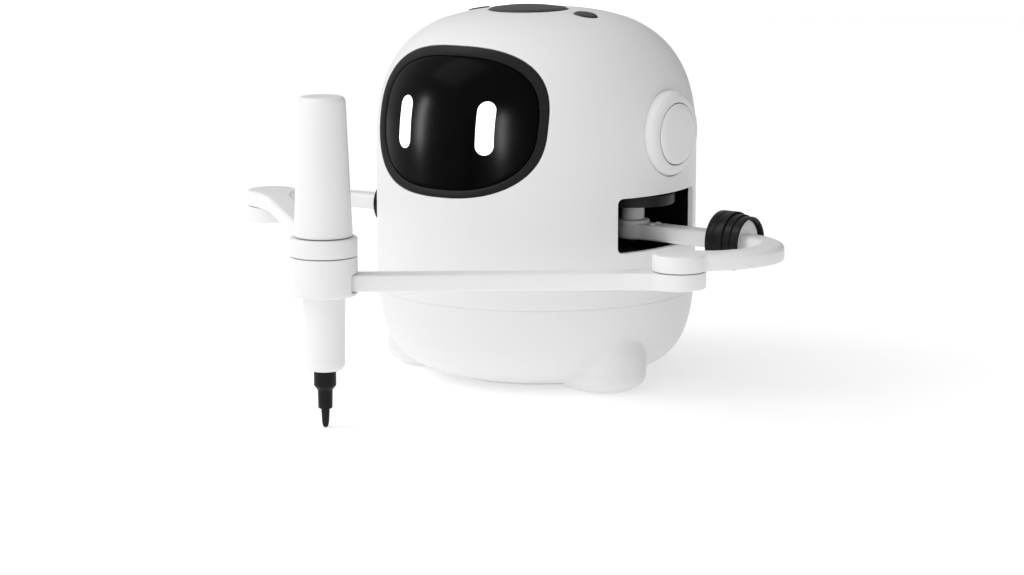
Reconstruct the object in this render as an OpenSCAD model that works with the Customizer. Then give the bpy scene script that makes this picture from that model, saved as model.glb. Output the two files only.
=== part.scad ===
// Desktop drawing robot: a round body on two feet, a black face, and a pen held out in front
// by two jointed arms that leave the body through a slot on each side.
// Millimetres. +Z up, face towards -Y, origin on the body's axis in the plane it stands on.

/* [Body] */
// Largest radius of the round body
body_r = 68; // [60:0.5:76]
// Height of the crown over the table
body_h = 156.1; // [140:0.5:172]
// Height where the dome starts to curve in
dome_z = 92.4; // [80:0.5:105]
// Squareness of the dome (2 is round)
dome_n = 2.9; // [2:0.05:4]
// Height where the bowl starts to curve in
bowl_z = 73.9; // [60:0.5:80]
// Squareness of the bowl (2 is round)
bowl_n = 4.7; // [2:0.05:6]
// Height of the bowl's underside
bowl_z0 = 1.2; // [0.5:0.1:4]
// Wall thickness of both shells
wall = 2.2; // [1.6:0.1:3]
// Height of the seam between the shells
seam_z = 38; // [30:0.5:50]
// Radius of the access hole in the bowl's floor
base_r = 38; // [30:0.5:42]

/* [Face] */
// Half of the face's width
face_hw = 43.8; // [38:0.2:46]
// Height of the face's lower edge
face_z0 = 82.8; // [80:0.5:90]
// Height of the face's upper edge
face_z1 = 143.6; // [135:0.5:146]
// Squareness of the face's outline
face_n = 2.6; // [2:0.1:6]
// Width of the bezel's band
bezel_w = 3.6; // [2.5:0.1:6]
// Depth of the bezel
bezel_d = 5.4; // [4:0.1:8]
// Sideways place of each eye
eye_x = 21.05; // [15:0.1:28]
// Height of the eyes' middle
eye_z = 112; // [100:0.5:125]
// Width of an eye
eye_w = 7.8; // [5:0.1:11]
// Height of an eye
eye_h = 22; // [14:0.5:30]

/* [Ears and buttons] */
// Height of the ears' middle
ear_z = 108.3; // [100:0.1:115]
// Place of the ears along the depth
ear_y = 2.6; // [-4:0.1:6]
// Radius of the ear's ring
ear_r = 17.6; // [14:0.1:20]
// Radius of the ear's cap
ear_cap_r = 12.5; // [9:0.1:15]
// How far the ear's cap stands from the body's axis
ear_x = 72.1; // [70:0.1:76]
// Radius of the large button on the crown
disc_r = 16.6; // [12:0.1:20]
// Place of the large button along the depth
disc_y = -5.4; // [-10:0.1:0]
// Radius of the two small buttons
btn_r = 4.4; // [3:0.1:6]
// Sideways place of the small buttons
btn_x = 28.6; // [24:0.1:32]
// Place of the small buttons along the depth
btn_y = -3.4; // [-8:0.1:4]

/* [Slots] */
// Front edge of the slots
slot_y0 = -27.7; // [-30:0.1:-20]
// Rear edge of the slots
slot_y1 = 26.5; // [20:0.1:30]
// Lower edge of the slots
slot_z0 = 60.2; // [56:0.1:62]
// Upper edge of the slots
slot_z1 = 82.6; // [78:0.1:86]
// Corner radius of the slots
slot_r = 2.2; // [1:0.1:4]

/* [Linkage] */
// Shoulder axis, sideways from the body's axis
sh_x = 46; // [40:0.5:50]
// Shoulder axis, behind the body's axis
sh_y = 6; // [0:0.5:12]
// Elbow axis, sideways
el_x = 106.6; // [95:0.1:115]
// Elbow axis, along the depth
el_y = -50; // [-60:0.1:-40]
// Pen axis, along the depth
pen_y = -138; // [-145:0.1:-125]
// Middle height of the upper arms
arm_z = 64.7; // [62:0.1:70]
// Thickness of every arm
arm_t = 6.6; // [5:0.1:8]
// Gap between stacked arms
arm_gap = 0.4; // [0.3:0.05:0.8]
// Radius of the elbow hubs
hub_r = 10.6; // [8:0.1:12]
// Width of the straight bars
bar_w = 10; // [7:0.1:12]
// Radius of the elbow pins
pin_r = 2.4; // [1.5:0.1:3]
// Running clearance of the pins
run = 0.05; // [0.02:0.01:0.1]
// Extra clearance round the right elbow's pin
loose = 1; // [0.6:0.1:1.6]
// Inner end of the black cuff on the left arm
cuff_xl = 89.4; // [72:0.1:92]
// Inner end of the black cuff on the right arm
cuff_xr = 72.4; // [72:0.1:92]
// Radius of the cuff's large ring
cuff_r1 = 12.1; // [11:0.1:14]
// Radius of the cuff's small ring
cuff_r2 = 10.6; // [9.5:0.1:12]

/* [Drive] */
// Gear module of the shoulder drives
gear_m = 0.55; // [0.4:0.05:0.8]
// Teeth of a shoulder gear
gear_n = 60; // [40:1:72]
// Teeth of a motor pinion
pinion_n = 20; // [14:1:24]
// Radius of the dark disc over each shoulder
turn_r = 17.5; // [15:0.1:19]
// Underside of the dark disc
turn_z = 76.3; // [75:0.1:78]

/* [Pen] */
// Radius of the holder's collar
collar_r = 13.2; // [12:0.1:15]
// Underside of the collar
collar_z = 52.8; // [50:0.1:54]
// Radius of the pen's barrel
barrel_r = 8.25; // [6:0.05:9]
// Lower end of the barrel
barrel_z = 23; // [18:0.5:28]
// Radius of the tail at its foot
tail_r0 = 11.4; // [10:0.1:12]
// Radius of the tail at its top
tail_r1 = 9.2; // [7:0.1:11]
// Height of the pen's top
pen_h = 130; // [120:0.5:140]

/* [Hidden] */
$fn = 72;
white = [0.93, 0.93, 0.93];
black = [0.04, 0.04, 0.045];
grey = [0.3, 0.3, 0.32];
metal = [0.7, 0.7, 0.72];
eps = 0.01;
arm_z0 = arm_z - arm_t/2;
arm_z1 = arm_z + arm_t/2;
low_z = arm_z0 - arm_gap - arm_t;
high_z = arm_z1 + arm_gap;
gear_r = gear_m*gear_n/2;
pinion_pr = gear_m*pinion_n/2;
motor_x = sh_x - gear_r - pinion_pr;
gear_z = 81.5;
deck_z = 85.4;
fore_l = sqrt(el_x*el_x + (el_y - pen_y)*(el_y - pen_y));
fore_a = atan2(el_y - pen_y, el_x);
lift_r = 4.8;
rack_y = 29;
lift_y = rack_y + 0.8 + lift_r;
lift_z = 70;

// ---- outlines --------------------------------------------------------------------------
// Half section of the dome and of the bowl, drawn in by t
function dome(t, k = 16) = [for (i = [0:k]) let (a = 90*i/k)
    [(body_r - t)*pow(cos(a), 2/dome_n), dome_z + (body_h - t - dome_z)*pow(sin(a), 2/dome_n)]];
function bowl(t, k = 14) = [for (i = [k:-1:0]) let (a = 90*i/k)
    [(body_r - t)*pow(cos(a), 2/bowl_n),
     bowl_z - (bowl_z - bowl_z0 - t)*pow(sin(a), 2/bowl_n)]];
function section(t) = concat(bowl(t), dome(t));
// Closed curve of a squared ellipse
function squircle(hw, hh, n, k = 48) = [for (i = [0:k-1]) let (a = 360*(i + 0.5)/k)
    [hw*sign(cos(a))*pow(abs(cos(a)), 2/n), hh*sign(sin(a))*pow(abs(sin(a)), 2/n)]];
// Points of a cubic curve through four handles
function curve(p, k = 12) = [for (i = [0:k]) let (t = i/k, s = 1 - t)
    s*s*s*p[0] + 3*s*s*t*p[1] + 3*s*t*t*p[2] + t*t*t*p[3]];
function unit(v) = v/norm(v);
function heading(c, i) = unit(c[min(i + 1, len(c) - 1)] - c[max(i - 1, 0)]);
// Ribbon of half width w0 to w1 about a curve
function ribbon(c, w0, w1) = let (n = len(c) - 1) concat(
    [for (i = [0:n]) let (h = heading(c, i), w = w0 + (w1 - w0)*i/n) c[i] + w*[-h[1], h[0]]],
    [for (i = [n:-1:0]) let (h = heading(c, i), w = w0 + (w1 - w0)*i/n) c[i] - w*[-h[1], h[0]]]);

module solid(t) { rotate_extrude() polygon(section(t)); }
module left_right(side) { if (side > 0) children(); else mirror([1, 0, 0]) children(); }
module tube(r1, r0, h) { difference() { cylinder(r = r1, h = h);
    translate([0, 0, -1]) cylinder(r = r0, h = h + 2); } }
module rounded(x, y, r) { // rectangle with round corners, centred
    square([x - 2*r, y], center = true);
    square([x, y - 2*r], center = true);
    for (i = [-1, 1], j = [-1, 1]) translate([i*(x/2 - r), j*(y/2 - r)]) circle(r);
}
// Prism of the face's outline, drawn in by t, through the front of the body
module face_prism(t) {
    translate([0, -30, (face_z0 + face_z1)/2]) rotate([90, 0, 0])
        linear_extrude(60) polygon(squircle(face_hw - t, (face_z1 - face_z0)/2 - t, face_n));
}
module eye_prism(t) {
    translate([eye_x, -40, eye_z]) rotate([90, 0, 0]) linear_extrude(40) {
        square([eye_w + 2*t, eye_h - eye_w], center = true);
        for (s = [-1, 1]) translate([0, s*(eye_h - eye_w)/2]) circle(eye_w/2 + t);
    }
}
module slot_prism(t) {
    translate([body_r/2, (slot_y0 + slot_y1)/2, (slot_z0 + slot_z1)/2]) rotate([90, 0, 90])
        linear_extrude(body_r) rounded(slot_y1 - slot_y0 + 2*t, slot_z1 - slot_z0 + 2*t, slot_r);
}
module along_x(z = 0, x = 0) { translate([x, 0, z]) rotate([0, 90, 0]) children(); }

// ---- shells and feet -------------------------------------------------------------------
module upper_shell() {
    color(white) difference() {
        rotate_extrude() polygon(concat(
            [[body_r - wall, seam_z]], [for (p = bowl(0)) if (p[1] > seam_z + 1) p], dome(0),
            [for (i = [16:-1:0]) dome(wall)[i]]));
        face_prism(0);
        for (s = [0, 1]) mirror([s, 0, 0]) {
            slot_prism(0);
            translate([0, ear_y, 0]) along_x(ear_z, 50) cylinder(r = ear_r + 0.1, h = 30);
            translate([btn_x, btn_y, 140]) cylinder(r = btn_r + 0.4, h = 30);
        }
        translate([0, disc_y, 140]) cylinder(r = disc_r + 0.5, h = 30);
    }
}
module lower_shell() {
    color(white) difference() {
        union() {
            rotate_extrude() polygon(concat(
                [for (p = bowl(0)) if (p[1] < seam_z - 1) p], [[body_r - 0.6, seam_z - 0.3]],
                [[body_r - wall - 0.6, seam_z - 0.3]],
                [for (i = [14:-1:0]) let (p = bowl(wall)[i]) if (p[1] < seam_z - 1) p]));
            for (i = [0:3]) rotate(45 + 90*i) translate([46, 0, bowl_z0 + 4.6])
                cylinder(r = 3.6, h = 9);
        }
        translate([0, 0, -5]) cylinder(r = base_r, h = 12);
        for (i = [0:3]) rotate(45 + 90*i) translate([46, 0, -1]) cylinder(r = 1.7, h = 30);
        for (i = [0:3]) rotate(45 + 90*i) translate([46, 0, -1]) cylinder(r = 3.1, h = 8.7);
        translate([0, body_r - 12, 24]) rotate([-90, 0, 0]) linear_extrude(20) rounded(9.4, 3.6, 1.7);
    }
}
module foot() {
    difference() {
        rotate(-18.5) hull() {
            translate([46.5, 0, 0]) cylinder(r = 11.5, h = 2, $fn = 32);
            for (y = [-8.5, 8.5]) translate([55.5, y, 9]) sphere(r = 8.3, $fn = 32);
            translate([57.5, 0, 10]) sphere(r = 9.5, $fn = 32);
            translate([58.3, 0, 19]) sphere(r = 7.2, $fn = 32);
        }
        translate([0, 0, -40]) cylinder(r = 100, h = 40);
        cylinder(r = base_r, h = 8);
        solid(0);
    }
}
module foot_left() { color(white) foot(); }
module foot_right() { color(white) mirror([1, 0, 0]) foot(); }
module base_plate() {
    color(white) difference() {
        translate([0, 0, bowl_z0]) cylinder(r = base_r - 0.2, h = 2.2);
        for (i = [0:2]) rotate(30 + 120*i) translate([32, 0, 0]) cylinder(r = 1.4, h = 9);
        for (i = [-4:4]) translate([20 + 2.2*i, 0, 0]) translate([-0.5, -6, 0]) cube([1, 12, 9]);
    }
}
module rubber_pads() {
    color(black) {
        cylinder(r = 11, h = bowl_z0);
        for (i = [0:2]) rotate(90 + 120*i) translate([26, 0, 0]) cylinder(r = 5, h = bowl_z0);
    }
}
module screw(h, r, head) { cylinder(r = r, h = h); cylinder(r = head, h = 1.6); }
module case_screws() {
    color(metal) {
        for (i = [0:3]) rotate(45 + 90*i) translate([46, 0, 6]) screw(15.6, 1.5, 2.8);
        for (i = [0:2]) rotate(30 + 120*i) translate([32, 0, bowl_z0]) screw(7, 1.35, 1.35);
    }
}

// ---- face, ears, buttons ---------------------------------------------------------------
module bezel() {
    color(black) intersection() {
        difference() { face_prism(0.15); face_prism(bezel_w); }
        difference() { solid(-0.3); solid(bezel_d); }
    }
}
module visor() {
    color(black) difference() {
        intersection() { face_prism(bezel_w + 0.15); difference() { solid(1.4); solid(3.8); } }
        for (s = [0, 1]) mirror([s, 0, 0]) eye_prism(0.1);
    }
}
module eye() { intersection() { eye_prism(0); difference() { solid(1.2); solid(4.4); } } }
module eye_left() { color("white") eye(); }
module eye_right() { color("white") mirror([1, 0, 0]) eye(); }
module ear_ring() {
    translate([0, ear_y, 0]) along_x(ear_z) rotate_extrude() polygon([[9, 62], [ear_r, 62], [ear_r, 66.9], [ear_r - 0.5, 68.3],
        [ear_r - 1.6, 69.6], [ear_r - 3, 70.2], [ear_cap_r + 0.4, 70.4], [ear_cap_r + 0.4, 67.5],
        [9, 67.5]]);
}
module ear_ring_left() { color(white) ear_ring(); }
module ear_ring_right() { color(white) mirror([1, 0, 0]) ear_ring(); }
module ear_cap() {
    translate([0, ear_y, 0]) along_x(ear_z) rotate_extrude() polygon(concat([[0, 61], [8.8, 61], [8.8, 67.6], [ear_cap_r, 67.6],
        [ear_cap_r, 70.6]], [for (i = [1:8]) let (a = 90*i/8)
        [ear_cap_r*pow(cos(a), 0.55), 70.6 + (ear_x - 70.6)*pow(sin(a), 0.8)]]));
}
module ear_cap_left() { color(white) ear_cap(); }
module ear_cap_right() { color(white) mirror([1, 0, 0]) ear_cap(); }
module crown_button() {
    color(black) translate([0, disc_y, 0]) rotate_extrude() polygon(concat(
        [[0, 148.8], [2, 148.8], [2, 151.4], [disc_r - 2, 151.4], [disc_r - 2, 149.6], [disc_r + 1.6, 149.6],
         [disc_r + 1.6, 150.8], [disc_r, 150.8], [disc_r, 155.4]],
        [for (i = [1:8]) let (a = 90*i/8) [disc_r*pow(cos(a), 0.7), 155.4 + 2*sin(a)]]));
}
module side_button() {
    translate([btn_x, btn_y, 0]) rotate_extrude() polygon(concat(
        [[0, 148.6], [btn_r + 1.4, 148.6], [btn_r + 1.4, 149.6], [btn_r, 149.6], [btn_r, 154]],
        [for (i = [1:5]) let (a = 90*i/5) [btn_r*pow(cos(a), 0.6), 154 + 0.9*sin(a)]]));
}
module side_button_left() { color(black) side_button(); }
module side_button_right() { color(black) mirror([1, 0, 0]) side_button(); }
module button_board() {
    color([0.1, 0.35, 0.2]) {
        translate([0, -4.4, 144.2]) linear_extrude(1.6) rounded(70, 24, 3);
        for (x = [-btn_x, 0, btn_x]) translate([x, disc_y, 145.8]) {
            translate([-3, -3, -eps]) cube([6, 6, 1 + eps]);
            cylinder(r = 1.6, h = 1.4);
        }
    }
}

// ---- inside the body -------------------------------------------------------------------
module slot_liner() {
    difference() {
        intersection() {
            translate([26.4, slot_y0 - 1.5, slot_z0 - 3.2])
                cube([45, slot_y1 - slot_y0 + 3, slot_z1 - slot_z0 + 4]);
            solid(wall + 0.05);
        }
        translate([27.9, slot_y0 - 0.1, slot_z0 - 1.9]) cube([60, slot_y1 - slot_y0 + 0.2, 60]);
        translate([20, slot_y0, 80.4]) cube([12, slot_y1 - slot_y0, 20]);
    }
}
module slot_liner_left() { color(black) slot_liner(); }
module slot_liner_right() { color(black) mirror([1, 0, 0]) slot_liner(); }
module chassis() {
    color(grey) difference() {
        union() {
            translate([0, 0, 16]) cylinder(r = 56, h = 2.4);
            for (y = [-10, 22]) translate([0, y, 18]) cylinder(r = 5, h = 10);
            for (i = [0:3]) rotate(45 + 90*i) translate([46, 0, 15]) cylinder(r = 3.4, h = 8);
            for (x = [-28, 28], y = [-44, -16]) translate([x, y, 18]) cylinder(r = 2.6, h = 12);
            translate([-32, 26.8, 18]) cube([24, 15.6, 42.8]);
        }
        for (y = [-10, 22]) translate([0, y, 17]) cylinder(r = 2, h = 30);
        for (i = [0:3]) rotate(45 + 90*i) translate([46, 0, 0]) cylinder(r = 1.5, h = 21.7);
        translate([-30, 28.4, 20]) cube([20, 12.4, 60]);
        translate([-34, 26, 56.6]) cube([8, 2.6, 6]);
        for (x = [-40:8:40]) translate([x, -50 + abs(x)/4, 10]) cylinder(r = 2.2, h = 20);
        translate([30, 8, 10]) cylinder(r = 11, h = 20);
    }
}
module guide_rods() {
    color(metal) for (y = [-10, 22]) translate([0, y, 17]) cylinder(r = 2, h = 101);
}
module rod_bridge() {
    color(grey) difference() {
        union() {
            translate([-7, -17, 115]) cube([14, 78, 3]);
            translate([-10, 57, 109]) cube([20, 4.6, 12]);
            for (y = [-10, 22]) translate([0, y, 112]) cylinder(r = 5, h = 6);
        }
        for (y = [-10, 22]) translate([0, y, 100]) cylinder(r = 2, h = 18);
    }
}
module teeth(n, m, h) { // spur gear with plain flanks and short teeth
    linear_extrude(h) polygon([for (i = [0:n-1], j = [0:3]) let (p = 360/n,
        a = p*(i + [-0.3, -0.1, 0.1, 0.3][j]), r = m*n/2 + m*[-1, 0.75, 0.75, -1][j])
        [r*cos(a), r*sin(a)]]);
}
module lift_servo() {
    color([0.12, 0.2, 0.42]) {
        translate([-30.5, lift_y - 6.1, 61]) cube([22.5, 12.2, 22.8]);
        translate([-13, lift_y - 6.1, 56.5]) cube([2, 12.2, 31.8]);
        along_x(lift_z, -8.1) translate([0, lift_y, 0]) cylinder(r = 2.4, h = 1.8);
        along_x(lift_z, -8.1) translate([0, lift_y, 0]) cylinder(r = 1, h = 7.6);
    }
}
module lift_pinion() {
    color("white") along_x(lift_z, -6) translate([0, lift_y, 0])
        difference() { teeth(12, 0.8, 6); translate([0, 0, -1]) cylinder(r = 1 + run, h = 9); }
}
module main_board() {
    color([0.08, 0.3, 0.16]) {
        translate([0, -30, 30.05]) linear_extrude(1.6) rounded(66, 36, 3);
        translate([-8, -36, 31.6]) cube([14, 14, 1.6]);
        translate([14, -42, 31.6]) cube([10, 8, 3]);
        for (x = [-28, -20], y = [-38, -28]) translate([x, y, 31.6]) cylinder(r = 3, h = 6);
    }
}
module battery() { color([0.2, 0.4, 0.7]) translate([-25, -47, 18.6]) cube([50, 31.5, 9.5]); }
module speaker() {
    color(black) translate([30, 8, 18.5]) rotate_extrude() polygon([[0, 0], [15, 0], [15, 3],
        [12, 3], [8, 7], [8, 11], [0, 11]]);
}
module power_inlet() {
    color(metal) translate([0, body_r - 11.2, 24]) rotate([-90, 0, 0]) difference() {
        linear_extrude(8) rounded(8.9, 3.2, 1.5);
        translate([0, 0, 1]) linear_extrude(9) rounded(8.3, 2.6, 1.2);
    }
}

// ---- lift carriage and shoulder drives -------------------------------------------------
module carriage() {
    color(grey) difference() {
        union() {
            translate([0, 6, deck_z]) linear_extrude(2.6) rounded(112, 40, 8);
            for (y = [-10, 22]) translate([0, y, deck_z]) cylinder(r = 5, h = 14);
            for (s = [-1, 1]) translate([s*sh_x, sh_y, deck_z]) cylinder(r = 6.6, h = 7);
        }
        for (y = [-10, 22]) translate([0, y, 60]) cylinder(r = 2 + run, h = 60);
        for (s = [-1, 1]) translate([s*sh_x, sh_y, 60]) cylinder(r = 4 + run, h = 60);
        for (s = [-1, 1]) translate([s*motor_x, sh_y, 60]) cylinder(r = 4.6, h = 60);
    }
}
module lift_rack() {
    color("white") translate([-6, rack_y - 4.6, 0]) {
        translate([0, 0, 58]) cube([6, 4.6, deck_z - 58]);
        for (i = [-5:3]) translate([0, 4.5, lift_z + 0.8*PI*(i + 0.5)])
            rotate([90, 0, 90]) linear_extrude(6)
            polygon([[0, -0.75], [1.6, -0.3], [1.6, 0.3], [0, 0.75]]);
    }
}
module motor() {
    translate([motor_x, sh_y, deck_z + 2.6]) {
        cylinder(r = 14, h = 19);
        translate([0, 0, -2.5]) cylinder(r = 4.5, h = 3);
        translate([0, 0, -7]) cylinder(r = 2.45, h = 8);
        translate([-7.5, -17, 1]) cube([15, 6, 16]);
    }
}
module motor_left() { color(metal) motor(); }
module motor_right() { color(metal) mirror([1, 0, 0]) motor(); }
module motor_pinion() {
    translate([motor_x, sh_y, gear_z]) difference() {
        rotate(180/pinion_n) teeth(pinion_n, gear_m, 3);
        translate([0, 0, -1]) cylinder(r = 2.5, h = 9);
    }
}
module motor_pinion_left() { color(grey) motor_pinion(); }
module motor_pinion_right() { color(grey) mirror([1, 0, 0]) motor_pinion(); }
module shoulder_gear() {
    translate([sh_x, sh_y, 0]) {
        translate([0, 0, arm_z1 + 1.4]) cylinder(r = 4.6, h = turn_z - arm_z1);
        translate([0, 0, turn_z]) cylinder(r = turn_r, h = 4.8);
        translate([0, 0, gear_z - 0.5]) teeth(gear_n, gear_m, 3.5);
        translate([0, 0, gear_z + 2]) cylinder(r = 5.5, h = deck_z - gear_z - 2.3);
        translate([0, 0, gear_z]) cylinder(r = 4, h = 14.4);
        translate([0, 0, arm_z0 - 1.8]) cylinder(r = 2.4, h = 12);
        translate([0, 0, arm_z0 - 1.8]) cylinder(r = 3.8, h = 1.6);
    }
}
module shoulder_gear_left() { color(grey) shoulder_gear(); }
module shoulder_gear_right() { color(grey) mirror([1, 0, 0]) shoulder_gear(); }
module shoulder_clip() { translate([sh_x, sh_y, deck_z + 7.4]) tube(6, 4.02, 1); }
module shoulder_clip_left() { color(metal) shoulder_clip(); }
module shoulder_clip_right() { color(metal) mirror([1, 0, 0]) shoulder_clip(); }

// ---- arms ------------------------------------------------------------------------------
module arm_inner(cx) {
    difference() {
        union() {
            translate([sh_x, sh_y, arm_z0]) cylinder(r = 7, h = arm_t + 1.3);
            translate([sh_x, sh_y - bar_w/2, arm_z0]) cube([cx + 8 - sh_x, bar_w, arm_t]);
            along_x(arm_z, cx + 1.4) translate([0, sh_y, 0]) cylinder(r = cuff_r1 - 1.5, h = 4.4);
        }
        translate([sh_x, sh_y, 0]) cylinder(r = 2.45, h = 100);
    }
}
module arm_inner_left() { color(white) arm_inner(cuff_xl); }
module arm_inner_right() { color(white) mirror([1, 0, 0]) arm_inner(cuff_xr); }
module cuff(cx) {
    along_x(arm_z, cx) translate([0, sh_y, 0]) rotate_extrude() polygon([
        [7.6, 0], [cuff_r1 - 0.6, 0], [cuff_r1, 0.6], [cuff_r1, 7.5], [cuff_r1 - 0.5, 8.1],
        [cuff_r2, 8.1], [cuff_r2, 14.4], [cuff_r2 - 0.4, 14.8], [cuff_r2 - 1.1, 14.8],
        [cuff_r2 - 1.1, 8.2], [cuff_r1 - 1.4, 7], [cuff_r1 - 1.4, 1.3], [7.6, 1.3]]);
}
module cuff_left() { color(black) cuff(cuff_xl); }
module cuff_right() { color(black) mirror([1, 0, 0]) cuff(cuff_xr); }
// Hooked outer arm, from the plug in the cuff to the elbow hub, with a blind hole for the pin
module arm_outer(cx, bore, bore_z) {
    path = concat(
        curve([[cx + 8.2, sh_y], [(cx + 108)/2, sh_y], [108, sh_y - 0.2], [113, 1.6]], 5),
        [for (i = [1:12]) curve([[113, 1.6], [126, -6], [127, -27], [el_x + 4, el_y + 6]], 12)[i]]);
    difference() {
        union() {
            translate([0, 0, arm_z0]) linear_extrude(arm_t) polygon(ribbon(path, 5.2, 5.8));
            translate([el_x, el_y, arm_z0]) cylinder(r = hub_r, h = arm_t);
            along_x(arm_z, cx + 8.2) translate([0, sh_y, 0]) cylinder(r = cuff_r2 - 1.2, h = 4);
        }
        translate([el_x, el_y, bore_z]) cylinder(r = bore, h = 6.2);
    }
}
module arm_outer_left() { color(white) arm_outer(cuff_xl, pin_r + run, arm_z0 - 1); }
module arm_outer_right() {
    color(white) mirror([1, 0, 0]) arm_outer(cuff_xr, pin_r + loose, arm_z0 + 0.6);
}
module elbow_pin_left() {
    color(metal) translate([el_x, el_y, low_z]) {
        translate([0, 0, 0.3]) cylinder(r = 4.1, h = 1.3);
        translate([0, 0, 0.3]) cylinder(r = pin_r, h = arm_t + arm_gap + 4.6);
    }
}
module elbow_pin_right() {
    color(metal) translate([-el_x, el_y, arm_z0 + 1]) cylinder(r = pin_r, h = 10);
}
// Straight bar between the pen axis and the elbow axis, pen at the origin, elbow on +X
module bar(ring_r) {
    w = bar_w/2;
    polygon([[9.6, -w], [fore_l - 22, -w], [fore_l - 7, -hub_r + 2.6], [fore_l, -hub_r + 2],
        [fore_l, hub_r - 2], [fore_l - 7, hub_r - 2.6], [fore_l - 22, w], [9.6, w]]);
    translate([fore_l, 0]) circle(hub_r);
    if (ring_r > 0) circle(ring_r);
}
module forearm_left() {
    color(white) translate([0, pen_y, low_z]) difference() {
        rotate(fore_a) linear_extrude(arm_t) bar(11.2);
        translate([0, 0, -1]) cylinder(r = 9.3 + run, h = 20);
        translate([el_x, el_y - pen_y, -1]) cylinder(r = pin_r + run, h = 20);
        translate([el_x, el_y - pen_y, -1]) cylinder(r = 4.3, h = 2.8);
    }
}
module forearm_right() {
    color(white) translate([0, pen_y, high_z]) difference() {
        union() {
            rotate(180 - fore_a) linear_extrude(arm_t) bar(0);
            cylinder(r = collar_r, h = 7.1);
        }
        translate([0, 0, -1]) cylinder(r = 9.3 + run, h = 20);
        translate([-el_x, el_y - pen_y, -1]) cylinder(r = pin_r, h = 5.2);
    }
}

// ---- pen and its holder ----------------------------------------------------------------
module pen_sleeve() {
    color(white) translate([0, pen_y, 0]) rotate_extrude() polygon([[barrel_r + 0.1, collar_z + 0.2],
        [11.6, collar_z + 0.2], [11.6, low_z - 0.3], [9.3, low_z - 0.3],
        [9.3, high_z + 7.2], [barrel_r + 0.1, high_z + 7.2]]);
}
module pen_collar() {
    color(white) translate([0, pen_y, collar_z]) {
        difference() {
            cylinder(r1 = collar_r - 1.6, r2 = collar_r - 0.2, h = 1.3);
            translate([0, 0, -1]) cylinder(r = 11.75, h = 4);
        }
        translate([0, 0, 1.05]) linear_extrude(low_z + arm_t + 0.48 - collar_z - 1.05) difference() {
            circle(collar_r);
            circle(11.7);
            rotate(fore_a) translate([5, -7.4]) square([20, 14.8]);
        }
    }
}
module collar_cap() {
    top = low_z + arm_t + 0.5;
    color(white) translate([0, pen_y, 0]) rotate_extrude() polygon([[11.7, top], [collar_r, top],
        [collar_r, high_z - 0.4], [9.7, high_z - 0.4], [9.7, high_z - 1.8], [11.7, high_z - 1.8]]);
}
module pen_barrel() {
    color(white) translate([0, pen_y, 0]) rotate_extrude() polygon([[0, barrel_z], [5.6, barrel_z],
        [7.2, barrel_z + 0.5], [7.9, barrel_z + 1.8], [barrel_r, 50], [barrel_r, 80], [0, 80]]);
}
module pen_tail() {
    color(white) translate([0, pen_y, 0]) difference() {
        rotate_extrude() polygon([[0, 75.9], [tail_r0 - 0.4, 75.9], [tail_r0, 76.3],
            [tail_r1, pen_h - 2.4], [tail_r1 - 0.7, pen_h - 0.7], [tail_r1 - 2.4, pen_h], [0, pen_h]]);
        translate([0, 0, 70]) cylinder(r = barrel_r + 0.02, h = 10.02);
    }
}
module nib_holder() {
    color(black) translate([0, pen_y, 0]) rotate_extrude() polygon([[0, barrel_z - 0.05],
        [4.4, barrel_z - 0.05], [4.4, 16.6], [2.9, 14.9], [2.8, 7.6], [0, 7.6]]);
}
module nib() {
    color(black) translate([0, pen_y, 0]) rotate_extrude() polygon([[0, 0], [0.7, 0.15], [1.2, 0.8],
        [1.35, 1.8], [1.7, 7.55], [0, 7.55]]);
}

upper_shell();
lower_shell();
foot_left();
foot_right();
base_plate();
rubber_pads();
case_screws();
bezel();
visor();
eye_left();
eye_right();
ear_ring_left();
ear_ring_right();
ear_cap_left();
ear_cap_right();
crown_button();
side_button_left();
side_button_right();
button_board();
slot_liner_left();
slot_liner_right();
chassis();
guide_rods();
rod_bridge();
lift_servo();
lift_pinion();
main_board();
battery();
speaker();
power_inlet();
carriage();
lift_rack();
motor_left();
motor_right();
motor_pinion_left();
motor_pinion_right();
shoulder_gear_left();
shoulder_gear_right();
shoulder_clip_left();
shoulder_clip_right();
arm_inner_left();
arm_inner_right();
cuff_left();
cuff_right();
arm_outer_left();
arm_outer_right();
elbow_pin_left();
elbow_pin_right();
forearm_left();
forearm_right();
pen_sleeve();
pen_collar();
collar_cap();
pen_barrel();
pen_tail();
nib_holder();
nib();
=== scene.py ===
import math
import bpy
import bmesh
import numpy as np
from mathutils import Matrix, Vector
from mathutils.geometry import delaunay_2d_cdt


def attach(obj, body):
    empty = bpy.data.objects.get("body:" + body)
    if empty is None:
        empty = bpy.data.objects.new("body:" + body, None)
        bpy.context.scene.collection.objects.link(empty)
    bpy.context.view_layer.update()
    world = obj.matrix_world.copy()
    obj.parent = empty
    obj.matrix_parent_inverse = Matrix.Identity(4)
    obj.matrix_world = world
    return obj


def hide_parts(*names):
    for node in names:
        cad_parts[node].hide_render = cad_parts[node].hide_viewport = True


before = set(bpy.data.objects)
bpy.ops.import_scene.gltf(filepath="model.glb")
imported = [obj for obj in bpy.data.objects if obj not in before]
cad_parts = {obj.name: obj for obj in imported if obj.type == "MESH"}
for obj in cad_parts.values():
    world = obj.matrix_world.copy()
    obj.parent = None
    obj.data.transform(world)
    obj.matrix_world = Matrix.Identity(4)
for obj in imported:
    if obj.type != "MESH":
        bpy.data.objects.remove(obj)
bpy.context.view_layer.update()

# A desktop drawing robot. Millimetres in this script, metres in the meshes.
# ---- shared sizes --------------------------------------------------------------------
BODY_R, DOME_Z, TOP_Z, DOME_N = 68.0, 92.4, 156.1, 2.9
BOWL_Z, BOTTOM_Z, BOWL_N, SEAM_Z = 73.9, 1.2, 4.7, 38.0
WALL = 2.2
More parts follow.
